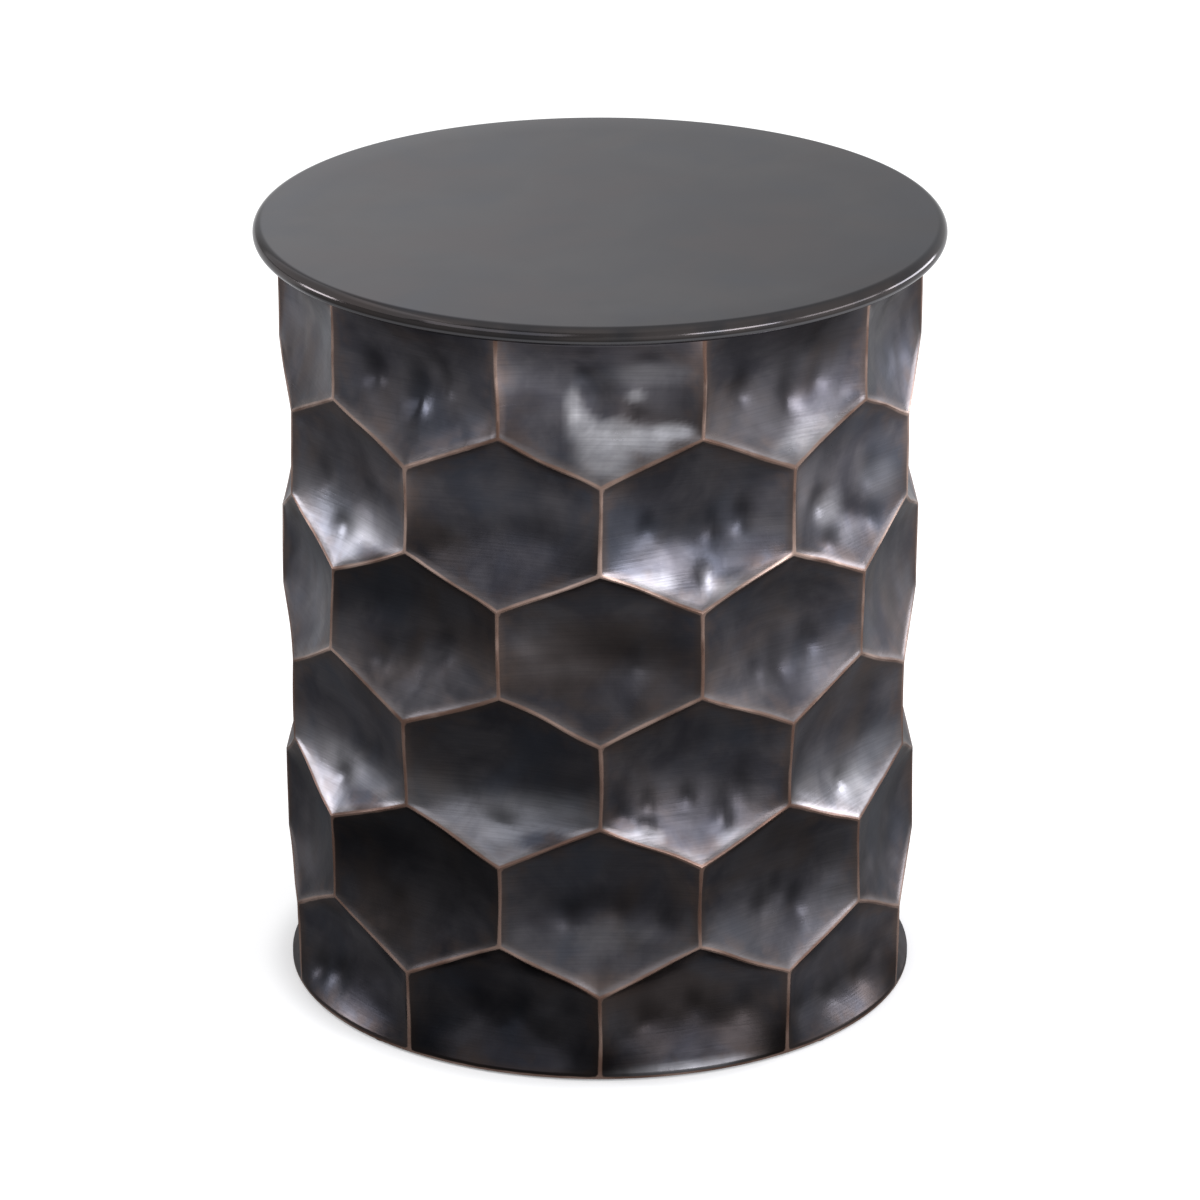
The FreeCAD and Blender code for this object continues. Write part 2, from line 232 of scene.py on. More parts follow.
def cell_lines():
    """Shares of a cell's width from -1 to 1 and of its height from 0 to 1, closer along the ridges."""
    fine = np.array(RIDGE_STEPS) / ridge_half
    plain = np.linspace(0, 1 - fine[-1], STEPS_ACROSS - len(fine) + 2)[:-1]
    half = np.concatenate([plain, 1 - fine[::-1]])
    across = np.concatenate([-half[:0:-1], half])
    fine = np.array(RIDGE_STEPS) / (row_pitch + RIDGE_SLANT)
    between = np.linspace(0, 1, STEPS_UP - 2 * len(fine) + 3) ** RISE_CROWDING
    rise = np.concatenate([fine[:-1], fine[-1] + (1 - 2 * fine[-1]) * between, 1 - fine[-2::-1]])
    return across, rise


def grid_quads(numbers):
    """The four corner numbers of each face of a grid."""
    corners = [numbers[:-1, :-1], numbers[:-1, 1:], numbers[1:, 1:], numbers[1:, :-1]]
    return np.stack(corners, -1).reshape(-1, 4)


def film(x, z, edge, loads):
    """A sheet stretched over a grid and held at its edge: first bare, then what each load adds."""
    numbers = np.arange(x.size).reshape(x.shape)
    quads = grid_quads(numbers)
    corners = np.concatenate([quads[:, [0, 1, 2]], quads[:, [0, 2, 3]]])
    px, pz = x.ravel()[corners], z.ravel()[corners]
    across = np.roll(pz, -1, 1) - np.roll(pz, 1, 1)
    along = np.roll(px, 1, 1) - np.roll(px, -1, 1)
    area = np.abs(across[:, 0] * along[:, 1] - across[:, 1] * along[:, 0]) / 2
    pull = np.zeros((x.size, x.size))
    for i in range(3):
        for j in range(3):
            share = (across[:, i] * across[:, j] + along[:, i] * along[:, j]) / (4 * area)
            np.add.at(pull, (corners[:, i], corners[:, j]), share)
    weight = np.bincount(corners.ravel(), np.repeat(area / 3, 3), x.size)
    held = np.ones(x.shape, bool)
    held[1:-1, 1:-1] = False
    held, free = np.flatnonzero(held), np.flatnonzero(~held.ravel())
    given = [-pull[np.ix_(free, held)] @ edge.ravel()[held]]
    given += [(weight * load.ravel())[free] for load in loads]
    found = np.linalg.solve(pull[np.ix_(free, free)], np.stack(given, -1))
    sheets = np.zeros((x.size, len(given)))
    sheets[held, 0] = edge.ravel()[held]
    sheets[free] = found
    return [sheets[:, k].reshape(x.shape) for k in range(len(given))]


class CellRow:
    """One row of honeycomb cells, as in the solids, with each cell's hammer marks."""

    def __init__(self, number):
        below = lowest_zigzag + (number - 1) * row_pitch
        above = below + row_pitch
        self.number = number
        self.round_low = number == 0
        self.round_high = number == CELL_ROWS - 1
        self.low_tip = BASE_EDGE + EDGE_BAND if self.round_low else below
        self.high_tip = RIM_HEIGHT - EDGE_BAND if self.round_high else above + RIDGE_SLANT
        self.low_shoulder = below + RIDGE_SLANT
        self.high_shoulder = above
        self.turn = 0.5 if number % 2 == 0 else 0.0

    def low_edge(self, x):
        return self.low_tip + (0 if self.round_low else ridge_slope) * np.abs(x)

    def high_edge(self, x):
        return self.high_tip - (0 if self.round_high else ridge_slope) * np.abs(x)

    def ridge_distance(self, x, z):
        """How far a point of the face lies from the nearest ridge or from the base edge."""
        square_on = 1 / math.hypot(1, ridge_slope)
        found = ridge_half - np.abs(x)
        low = z - BASE_EDGE if self.round_low else (z - self.low_edge(x)) * square_on
        found = np.minimum(found, low)
        if not self.round_high:
            found = np.minimum(found, (self.high_edge(x) - z) * square_on)
        return np.maximum(found, 0.0)

    def press(self, across, rise):
        """Lays out a cell's points and presses the sheet in between the ridges."""
        share_x, self.rise = np.meshgrid(across, rise)
        self.x = share_x * ridge_half
        low, high = self.low_edge(self.x), self.high_edge(self.x)
        self.z = low + self.rise * (high - low)
        self.distance = self.ridge_distance(self.x, self.z)
        tip_out = facet_radius + tip_reach * (1 - np.abs(share_x))
        round_out = np.sqrt(DRUM_RADIUS ** 2 - self.x ** 2)
        edge = np.full_like(self.x, facet_radius)
        edge[0] = (round_out if self.round_low else tip_out)[0]
        edge[-1] = (round_out if self.round_high else tip_out)[-1]
        level = 2 * self.rise - 1
        self.sheet, self.even, self.lower = film(self.x, self.z, edge, [np.ones_like(level), -level])

    def dish(self, lowness):
        """The pressed surface between the ridges: its distance from the axis, square to the facet."""
        sunk = self.even + lowness * self.lower
        middle = self.x.shape[0] // 2, self.x.shape[1] // 2
        depth = self.sheet[middle] - facet_radius + DISH_DEPTH
        return self.sheet - sunk * depth / self.even[middle]

    def taper(self, z):
        """Draws the bottom row in to the round foot."""
        if not self.round_low:
            return np.ones_like(z)
        fall = np.clip((self.high_shoulder - z) / (self.high_shoulder - self.low_tip), 0.0, None)
        return 1 - (1 - BASE_RADIUS / DRUM_RADIUS) * fall ** 2


def work_on(row, cell):
    """One cell's lowness of the hollow, paleness low and high, burnish (partly a painted highlight) and
    dents, in metres.
    """
    rng = np.random.default_rng([SEED, row.number, cell])
    dents = []
    for middle in np.linspace(-BLOW_REACH, BLOW_REACH, int(rng.integers(*BLOW_COUNT))) * ridge_half:
        x = middle + rng.normal(0, BLOW_SCATTER)
        z = row.low_edge(x) + rng.uniform(*BLOW_RISE)
        width = rng.uniform(*BLOW_WIDTH)
        up = rng.uniform(*BLOW_UP)
        down = rng.uniform(*BLOW_DOWN)
        dents.append((x, z, width, up, down, rng.uniform(*BLOW_DEPTH)))
    lowness, burnish_and_highlight = rng.uniform(*RANDOM_LOWNESS), rng.uniform(*RANDOM_BURNISH_AND_HIGHLIGHT)
    pale_low, pale_high = rng.uniform(*RANDOM_PALENESS, 2)
    if (row.number, cell) in FRONT_CELLS:
        lowness, pale_low, pale_high, burnish_and_highlight, blows = FRONT_CELLS[row.number, cell]
        dents = [(x / 1e3, row.low_tip + z / 1e3, width / 1e3, up / 1e3, down / 1e3, depth / 1e4)
                 for x, z, width, up, down, depth in blows]
    for number in range(MARK_COUNT):
        broad = number < BROAD_COUNT
        x = rng.uniform(-MARK_REACH, MARK_REACH) * ridge_half
        low, high = row.low_edge(x), row.high_edge(x)
        z = low + rng.uniform(MARK_BOTTOM, BROAD_TOP if broad else FINE_TOP) * (high - low)
        size = rng.uniform(*(BROAD_SIZE if broad else FINE_SIZE))
        dents.append((x, z, size, size, size, rng.normal(0, BROAD_DEPTH if broad else FINE_DEPTH)))
    return lowness, pale_low, pale_high, burnish_and_highlight, dents


def hammered(row, dents):
    """How far the hammer has moved each point in to the axis, and the painted shade in the upper part
    of each dent.
    """
    moved, dent_shade = np.zeros_like(row.x), np.zeros_like(row.x)
    for at_x, at_z, width, up, down, depth in dents:
        across = ((row.x - at_x) / width) ** 2
        tall = np.where(row.z > at_z, up, down)
        moved += depth * np.exp(-across - ((row.z - at_z) / tall) ** 2)
        # Painted shade: the colour darkens in the upper part of each dent, which faces down.
        above = (row.z - at_z - SHADE_RISE * up) / (SHADE_REACH * up)
        dent_shade += depth * np.exp(-across - above ** 2)
    free = smoothstep(*MARK_EDGES, row.distance)
    return moved * free, 1 - SHADE_STRENGTH * np.tanh(dent_shade * free / SHADE_DEPTH)


def away_from_edges(z):
    """0 at the two round edges and 1 between them."""
    low, high = WANDER_HEIGHTS
    return smoothstep(BASE_EDGE + EDGE_BAND, low, z) * smoothstep(RIM_HEIGHT - EDGE_BAND, high, z)


def swaying(waves, turn, z):
    """The sum of some waves at an angle and a height."""
    return sum(np.sin(around * turn + up * z + start) for around, up, start in waves)


def hand_drift(turn, z):
    """How far hand-work has moved a point sideways, outwards and upwards, at an angle and a height."""
    fade = away_from_edges(z)
    sideways = fade * WANDER[0] * swaying(SIDEWAYS_WAVES, turn, z)
    outwards = fade * WANDER[1] * (swaying(OUTWARD_WAVES, turn, z) - 1)
    upwards = fade * WANDER[2] * swaying(UPWARD_WAVES, turn, z)
    near_creep = np.exp(CREEP_TIGHTNESS * (np.cos(turn + CREEP_ANGLE) - 1))
    crept = near_creep * smoothstep(*CREEP_HEIGHTS, z)
    return sideways - CREEP * crept, outwards, upwards


def skin_of(row, cell, step, inset):
    """Points of one cell's skin as a grid, from the foot up, with its facts for the material."""
    lowness, pale_low, pale_high, burnish_and_highlight, dents = work_on(row, cell)
    moved, paleness_and_shade = hammered(row, dents)
    # The paleness carries painted shade in the upper part of each dent, then each cell's tone.
    paleness_and_shade *= pale_low + (pale_high - pale_low) * smoothstep(*PALE_RISE, row.rise)
    y = row.dish(lowness) - moved
    y -= RIDGE_BEAD * away_from_edges(row.z) * (1 - np.exp(-(row.distance / RIDGE_WIDTH) ** 4))
    x, y, z, rise, paleness_and_shade = [grid[::step, ::step] for grid in (row.x, y, row.z, row.rise, paleness_and_shade)]
    local = np.arctan2(x, y)
    radius = np.hypot(x, y) * row.taper(z) - inset
    if row.round_low or row.round_high:
        # The plain band past a round edge goes straight down or up from it.
        ends = [grid[:1] if row.round_low else grid[-1:] for grid in (x, local, radius, rise, paleness_and_shade)]
        ends.insert(2, np.full_like(z[:1], BASE_EDGE if row.round_low else RIM_HEIGHT))
        grids = (x, local, z, radius, rise, paleness_and_shade)
        x, local, z, radius, rise, paleness_and_shade = [np.vstack([end, grid] if row.round_low else [grid, end])
                                           for end, grid in zip(ends, grids)]
    distance = row.ridge_distance(x, z)
    middle = 2 * half_angle * (cell + row.turn)
    sideways, outwards, upwards = hand_drift(local + middle, z)
    turn = local + middle + sideways / DRUM_RADIUS
    radius = radius + outwards
    points = np.stack([radius * np.sin(turn), -radius * np.cos(turn), z + upwards], -1)
    # Burnish is strongest low in each cell, where the hollow faces up: worn metal, and partly a painted
    # highlight.
    worn = burnish_and_highlight * smoothstep(*BURNISH_AND_HIGHLIGHT_RISE, rise)
    for at_x, at_z, width, height, strength in BURNISHED.get((row.number, cell), []):
        far_z = (z - row.low_tip - at_z / 1e3) / (height / 1e3)
        far_x = (x - at_x / 1e3) / (width / 1e3)
        patch = strength * np.exp(-(far_x ** 2 + far_z ** 2) ** 2)
        worn, paleness_and_shade = worn + patch, paleness_and_shade * (1 + PATCH_PALENESS * patch)
    if not row.round_low:
        worn = worn + LOW_EDGE_WEAR * np.exp(-((z - row.low_edge(x)) / LOW_EDGE_REACH) ** 2)
    near = np.clip(distance / FAR_FROM_RIDGE, 0, 1)
    inside = np.full_like(z, float(inset > 0))
    facts = np.stack([near, np.clip(worn, 0, 1), paleness_and_shade / PALEST, inside], -1)
    unrolled = (local + middle + half_angle) / (2 * math.pi + half_angle)
    height = (z - BASE_EDGE) / (RIM_HEIGHT - BASE_EDGE)
    shelf = INNER_SHELF if inset > 0 else OUTER_SHELF
    flat = np.stack([FLAT_MARGIN + (1 - 2 * FLAT_MARGIN) * unrolled,
                     shelf[0] + (shelf[1] - shelf[0]) * height], -1)
    return points, facts, flat


def drum_mesh():
    """The whole pressed sheet as one closed skin: outer face, inner face and the two round edges."""
    across, rise = cell_lines()
    points, facts, flats, faces = [], [], [], []
    total = 0
    for number in range(CELL_ROWS):
        row = CellRow(number)
        row.press(across, rise)
        for cell in range(CELLS_AROUND):
            grids = []
            for inset, step in ((0.0, 1), (SHEET, 2)):
                made = skin_of(row, cell, step, inset)
                shape = made[0].shape[:2]
                grids.append(total + np.arange(shape[0] * shape[1]).reshape(shape))
                total += shape[0] * shape[1]
                for store, grid in zip((points, facts, flats), made):
                    store.append(grid.reshape(-1, grid.shape[-1]))
                quads = grid_quads(grids[-1])
                faces += (quads[:, ::-1] if inset > 0 else quads).tolist()
            if row.round_low or row.round_high:
                edge = 0 if row.round_low else -1
                outer, inner = grids[0][edge], grids[1][edge]
                for k in range(len(inner) - 1):
                    rim = [inner[k], inner[k + 1], outer[2 * k + 2], outer[2 * k + 1], outer[2 * k]]
                    faces.append([int(n) for n in (rim if row.round_low else rim[::-1])])
    points, facts, flats = [np.concatenate(store) for store in (points, facts, flats)]
    # Ridge points that neighbouring cells share become one.
    keys = np.round((points + MERGE_SHIFT) / MERGE_STEP).astype(np.int64)
    _, first, number_of = np.unique(keys, axis=0, return_index=True, return_inverse=True)
    number_of = number_of.ravel()
    mesh = bpy.data.meshes.new("drum_skin")
    mesh.from_pydata(points[first].tolist(), [], [[int(number_of[n]) for n in f] for f in faces])
    fact_layer = mesh.attributes.new("cell", "FLOAT_COLOR", "POINT")
    fact_layer.data.foreach_set("color", facts[first].astype(np.float32).ravel())
    corners = np.array([n for f in faces for n in f])
    flat_layer = mesh.uv_layers.new(name="OFBake")
    flat_layer.uv.foreach_set("vector", flats[corners].astype(np.float32).ravel())
    mesh.shade_smooth()
    mesh.set_sharp_from_angle(angle=DRUM_CREASE)
    return mesh


def arc(radius, bottom, thickness, rising):
    """A half-round edge as points of radius and height, out to the given radius."""
    edge = thickness / 2
    turns = np.linspace(-math.pi / 2, math.pi / 2, EDGE_STEPS + 1)
    line = [(radius - edge + edge * math.cos(t), bottom + edge + edge * math.sin(t)) for t in turns]
    return line if rising else line[::-1]


def lid_mesh():
    """The lid's sheet: flat on top, folded round its half-round edge and hemmed under it."""
    underside = LID_TOP - LID_THICKNESS
    pocket_thickness = LID_THICKNESS - 2 * LID_SHEET
    face_rings = [(LID_RADIUS * share, LID_TOP) for share in LID_RINGS]
    inner_rings = [(r, LID_TOP - LID_SHEET) for r, _ in reversed(face_rings)]
    profile = face_rings + arc(LID_RADIUS, underside, LID_THICKNESS, False)
    profile += [(HEM_RADIUS, underside), (HEM_RADIUS, underside + LID_SHEET)]
    profile += arc(LID_RADIUS - LID_SHEET, underside + LID_SHEET, pocket_thickness, True)
    profile += inner_rings
    turns = np.arange(LID_SEGMENTS) * 2 * math.pi / LID_SEGMENTS
    points = [(r * math.cos(t), r * math.sin(t), z) for r, z in profile for t in turns]
    top_middle = len(points)
    points += [(0, 0, LID_TOP), (0, 0, LID_TOP - LID_SHEET)]
    faces = []
    for line in range(len(profile) - 1):
        for k in range(LID_SEGMENTS):
            a, b = line * LID_SEGMENTS + k, line * LID_SEGMENTS + (k + 1) % LID_SEGMENTS
            faces.append([b, a, a + LID_SEGMENTS, b + LID_SEGMENTS])
    last = (len(profile) - 1) * LID_SEGMENTS
    for k in range(LID_SEGMENTS):
        after = (k + 1) % LID_SEGMENTS
        faces.append([k, after, top_middle])
        faces.append([last + after, last + k, top_middle + 1])
    mesh = bpy.data.meshes.new("lid_sheet")
    mesh.from_pydata(points, [], faces)
    mesh.shade_smooth()
    mesh.set_sharp_from_angle(angle=LID_CREASE)
    return mesh


class Surface:
    """A node material in the making."""

    def __init__(self, name):
        self.material = bpy.data.materials.new(name)
        self.material.use_nodes = True
        self.tree = self.material.node_tree
        self.tree.nodes.clear()
        self.shader = self.tree.nodes.new("ShaderNodeBsdfPrincipled")
        self.out = self.tree.nodes.new("ShaderNodeOutputMaterial")
        self.tree.links.new(self.shader.outputs["BSDF"], self.out.inputs["Surface"])
        self.place = self.tree.nodes.new("ShaderNodeTexCoord").outputs["Object"]

    def put(self, socket, value):
        if isinstance(value, bpy.types.NodeSocket):
            self.tree.links.new(value, socket)
        elif isinstance(value, tuple) and len(value) == 3 and len(socket.default_value) == 4:
            socket.default_value = (*value, 1.0)
        else:
            socket.default_value = value

    def set(self, **values):
        for name, value in values.items():
            self.put(self.shader.inputs[name.replace("_", " ")], value)

    def stretched(self, x, y, z):
        node = self.tree.nodes.new("ShaderNodeMapping")
        node.inputs["Scale"].default_value = (x, y, z)
        self.put(node.inputs["Vector"], self.place)
        return node.outputs["Vector"]

    def noise(self, scale, detail=3.0, roughness=0.5, place=None, distortion=0.0):
        node = self.tree.nodes.new("ShaderNodeTexNoise")
        self.put(node.inputs["Vector"], place or self.place)
        node.inputs["Scale"].default_value = scale
        node.inputs["Detail"].default_value = detail
        node.inputs["Roughness"].default_value = roughness
        node.inputs["Distortion"].default_value = distortion
        return node.outputs["Fac"]

    def span(self, value, low, high, to_low=0.0, to_high=1.0):
        """A value brought smoothly from one range to another."""
        node = self.tree.nodes.new("ShaderNodeMapRange")
        node.interpolation_type = "SMOOTHSTEP"
        for name, given in (("Value", value), ("From Min", low), ("From Max", high),
                            ("To Min", to_low), ("To Max", to_high)):
            self.put(node.inputs[name], given)
        return node.outputs["Result"]

    def join(self, kind, a, b):
        """Two values brought together by a kind of sum, such as MULTIPLY."""
        node = self.tree.nodes.new("ShaderNodeMath")
        node.operation = kind
        self.put(node.inputs[0], a)
        self.put(node.inputs[1], b)
        return node.outputs[0]

    def mix(self, share, a, b):
        """Two colours mixed. Sockets 6, 7 and 2 are the mix node's own for colours."""
        node = self.tree.nodes.new("ShaderNodeMix")
        node.data_type = "RGBA"
        self.put(node.inputs["Factor"], share)
        self.put(node.inputs[6], a)
        self.put(node.inputs[7], b)
        return node.outputs[2]

    def tinted(self, colour, factor):
        node = self.tree.nodes.new("ShaderNodeVectorMath")
        node.operation = "SCALE"
        self.put(node.inputs[0], colour)
        self.put(node.inputs["Scale"], factor)
        return node.outputs["Vector"]

    def bump(self, height, strength, distance, under=None):
        node = self.tree.nodes.new("ShaderNodeBump")
        node.inputs["Strength"].default_value = strength
        node.inputs["Distance"].default_value = distance
        self.put(node.inputs["Height"], height)
        if under is not None:
            self.put(node.inputs["Normal"], under)
        return node.outputs["Normal"]

    def facts(self, name):
        """The four facts that a mesh keeps of each point under a name."""
        node = self.tree.nodes.new("ShaderNodeAttribute")
        node.attribute_name = name
        split = self.tree.nodes.new("ShaderNodeSeparateColor")
        self.put(split.inputs["Color"], node.outputs["Color"])
        return [split.outputs[n] for n in ("Red", "Green", "Blue")] + [node.outputs["Alpha"]]

    def axes(self):
        """Where a point lies along X, Y and Z, in metres."""
        node = self.tree.nodes.new("ShaderNodeSeparateXYZ")
        self.put(node.inputs[0], self.place)
        return node.outputs

    def from_axis(self):
        """Distance from the Z axis in metres."""
        flat = self.tree.nodes.new("ShaderNodeVectorMath")
        flat.operation = "LENGTH"
        self.put(flat.inputs[0], self.stretched(1, 1, 0))
        return flat.outputs["Value"]


# Colours of the drum's patina, and of what shows where it is rubbed away, which low in each
# hollow is partly a painted highlight.
PATINA_DARK, PATINA_PALE = (0.060, 0.058, 0.070), (0.116, 0.110, 0.122)
PATINA_BROWN, PATINA_BLUE = (0.106, 0.083, 0.074), (0.070, 0.079, 0.104)
PATINA_BY_RIDGES = (0.135, 0.096, 0.080)
BURNISH_AND_HIGHLIGHT_METAL = (0.400, 0.396, 0.420)
BRUSH_MARKS = (0.044, 0.043, 0.048)
COPPER_DARK, COPPER_PALE = (0.135, 0.079, 0.059), (0.345, 0.247, 0.208)
COPPER_DULL = (0.094, 0.050, 0.036)
INSIDE_BLACK = (0.022, 0.022, 0.024)
COPPER_DULLS = (0.27, 0.16)   # heights between which the copper grows dull
COPPER_AT_FOOT = (0.07, 0.13)   # heights between which it is less dull again

# The same for the lid, with the distances from its axis and the heights at which they change.
LID_DARK, LID_PALE = (0.080, 0.078, 0.085), (0.095, 0.092, 0.096)
LID_BROWN, LID_BLUE = (0.093, 0.083, 0.086), (0.077, 0.080, 0.092)
LID_PATCHES = (0.075, 0.074, 0.080)
LID_EDGE = (0.110, 0.092, 0.086)
# Painted reflection of the floor, in a pale band low on the rolled edge.
LID_FLOOR_SHEEN = (0.330, 0.327, 0.350)
# Painted shade: the rolled edge between these distances from the axis is darkened.
LID_ROLL_SHADE = (0.2015, 0.2040)
LID_RUBBED = (0.2035, 0.2070)
# The painted reflection of the floor lies below these heights.
LID_FLOOR_SHEEN_HEIGHTS = (0.4728, 0.4716)

# Colours of the hidden pieces.
STEEL_DARK, STEEL_PALE = (0.020, 0.020, 0.022), (0.034, 0.033, 0.034)
BOARD_DARK, BOARD_PALE = (0.030, 0.028, 0.027), (0.050, 0.045, 0.041)
BOARD_FIBRES = (0.018, 0.017, 0.016)
ZINC_DARK, ZINC_PALE = (0.42, 0.42, 0.43), (0.62, 0.61, 0.58)
RUBBER_DARK, RUBBER_PALE = (0.016, 0.016, 0.016), (0.034, 0.033, 0.032)


def patina_surface():
    """Clouded dark patina on brushed metal, with painted shade in the upper part of each dent, pale
    where it is burnished (low in each hollow partly a painted highlight) and copper along the ridges.
    """
    s = Surface("hammered_patina")
    near, worn, paleness_and_shade, inside = s.facts("cell")
    clouds = s.noise(24, 4.0, 0.55, distortion=0.5)
    patches = s.noise(60, 3.0)
    brushed = s.noise(1.0, 3.0, 0.65, place=s.stretched(18, 18, 1100))
    body = s.mix(s.span(clouds, 0.32, 0.70), PATINA_DARK, PATINA_PALE)
    tones = s.noise(15, 3.0, distortion=0.4)
    body = s.mix(s.span(tones, 0.50, 0.68, 0.0, 0.6), body, PATINA_BROWN)
    body = s.mix(s.span(tones, 0.48, 0.32, 0.0, 0.6), body, PATINA_BLUE)
    warm = s.join("MULTIPLY", s.span(patches, 0.42, 0.66), s.span(near, 0.55, 0.08))
    warm = s.join("MAXIMUM", warm, s.span(near, 0.24, 0.04))
    body = s.mix(s.join("MULTIPLY", warm, 0.55), body, PATINA_BY_RIDGES)
    # Pale burnished metal where worn; low in each hollow this is partly a painted highlight.
    burnish_and_highlight = s.join("MULTIPLY", worn, s.span(clouds, 0.28, 0.52, 0.55, 1.0))
    body = s.mix(burnish_and_highlight, body, BURNISH_AND_HIGHLIGHT_METAL)
    body = s.mix(s.join("MULTIPLY", s.span(brushed, 0.35, 0.75), 0.22), body, BRUSH_MARKS)
    # The paleness scales the colour: the tone of each cell, burnished patches, and painted shade in the
    # upper part of each dent.
    body = s.tinted(body, s.join("MULTIPLY", paleness_and_shade, PALEST))
    # Copper on the ridges, duller in the lower half of the drum.
    wander = s.join("MULTIPLY", s.join("SUBTRACT", patches, 0.5), 0.035)
    ridge = s.span(s.join("ADD", near, wander), 0.062, 0.024)
    streaks = s.noise(26, 3.0, 0.45)
    copper = s.mix(s.span(streaks, 0.36, 0.64), COPPER_DARK, COPPER_PALE)
    height = s.axes()["Z"]
    dull = s.span(height, *COPPER_DULLS, 0.0, 0.8)
    dull = s.join("MULTIPLY", dull, s.span(height, *COPPER_AT_FOOT, 0.5, 1.0))
    copper = s.mix(dull, copper, COPPER_DULL)
    face = s.mix(ridge, body, copper)
    s.set(Base_Color=s.mix(inside, face, INSIDE_BLACK))
    outside_metal = s.span(ridge, 0.0, 1.0, 1.0, 0.62)
    s.set(Metallic=s.join("MULTIPLY", outside_metal, s.span(inside, 0.0, 1.0, 1.0, 0.0)))
    rough = s.span(patches, 0.3, 0.7, 0.25, 0.34)
    rough = s.join("ADD", rough, s.join("MULTIPLY", inside, 0.25))
    s.set(Roughness=s.join("ADD", rough, s.join("MULTIPLY", brushed, 0.06)))
    s.set(Specular_Tint=(0.70, 0.70, 0.71))
    fine = s.bump(brushed, 0.16, 0.0003)
    s.set(Normal=s.bump(patches, 0.20, 0.0010, fine))
    return s.material


def lid_surface():
    """Smooth dark patina, with painted shade round the rolled edge and a pale band low on it that is a
    painted reflection of the floor.
    """
    s = Surface("lid_patina")
    clouds = s.noise(9, 4.0, 0.5, distortion=0.6)
    patches = s.noise(34, 3.0)
    brushed = s.noise(1.0, 3.0, 0.6, place=s.stretched(14, 900, 60))
    body = s.mix(s.span(clouds, 0.35, 0.68), LID_DARK, LID_PALE)
    body = s.mix(s.join("MULTIPLY", s.span(patches, 0.45, 0.7), 0.35), body, LID_PATCHES)
    tones = s.noise(12, 3.0, distortion=0.4)
    body = s.mix(s.span(tones, 0.50, 0.66, 0.0, 0.7), body, LID_BROWN)
    body = s.mix(s.span(tones, 0.50, 0.34, 0.0, 0.7), body, LID_BLUE)
    from_axis = s.from_axis()
    # Painted shade: the rolled edge is darkened to stand for the dim surroundings it mirrors.
    body = s.tinted(body, s.span(from_axis, *LID_ROLL_SHADE, 1.0, 0.62))
    worn = s.join("MULTIPLY", s.span(from_axis, *LID_RUBBED), s.span(patches, 0.30, 0.55))
    body = s.mix(s.join("MULTIPLY", worn, 0.4), body, LID_EDGE)
    # Painted reflection: a pale band low on the rolled edge stands for the pale floor it mirrors.
    floor_sheen = s.span(s.axes()["Z"], *LID_FLOOR_SHEEN_HEIGHTS)
    body = s.mix(s.join("MULTIPLY", floor_sheen, 0.8), body, LID_FLOOR_SHEEN)
    s.set(Base_Color=body, Metallic=1.0)
    rough = s.span(clouds, 0.3, 0.7, 0.11, 0.16)
    s.set(Roughness=s.join("ADD", rough, s.join("MULTIPLY", brushed, 0.03)))
    s.set(Specular_Tint=(0.80, 0.80, 0.81))
    s.set(Normal=s.bump(brushed, 0.04, 0.0002))
    return s.material


def paint_surface():
    """Black powder paint on steel."""
    s = Surface("black_steel")
    pores = s.noise(900, 2.0)
    clouds = s.noise(40, 3.0)
    s.set(Base_Color=s.mix(s.span(clouds, 0.35, 0.7), STEEL_DARK, STEEL_PALE))
    s.set(Roughness=s.span(pores, 0.3, 0.7, 0.42, 0.58))
    s.set(Normal=s.bump(pores, 0.2, 0.0002))
    return s.material


def board_surface():
    """Dark stained fibreboard."""
    s = Surface("stained_board")
    fibres = s.noise(1.0, 4.0, 0.6, place=s.stretched(420, 300, 420))
    clouds = s.noise(22, 4.0)
    body = s.mix(s.span(clouds, 0.35, 0.7), BOARD_DARK, BOARD_PALE)
    s.set(Base_Color=s.mix(s.span(fibres, 0.5, 0.8), body, BOARD_FIBRES))
    s.set(Roughness=s.span(fibres, 0.3, 0.7, 0.55, 0.75))
    s.set(Normal=s.bump(fibres, 0.25, 0.0004))
    return s.material


def zinc_surface():
    """Zinc-plated steel."""
    s = Surface("zinc_screw")
    crystals = s.noise(1600, 2.0)
    s.set(Base_Color=s.mix(crystals, ZINC_DARK, ZINC_PALE), Metallic=1.0)
    s.set(Roughness=s.span(crystals, 0.3, 0.7, 0.28, 0.45))
    s.set(Normal=s.bump(crystals, 0.1, 0.0001))
    return s.material


def rubber_surface():
    """Dull black rubber."""
    s = Surface("black_rubber")
    grain = s.noise(1400, 2.0)
    s.set(Base_Color=s.mix(grain, RUBBER_DARK, RUBBER_PALE))
    s.set(Roughness=s.span(grain, 0.3, 0.7, 0.62, 0.85))
    s.set(Normal=s.bump(grain, 0.2, 0.0002))
    return s.material


def add(name, data):
    made = bpy.data.objects.new(name, data)
    bpy.context.scene.collection.objects.link(made)
    return made


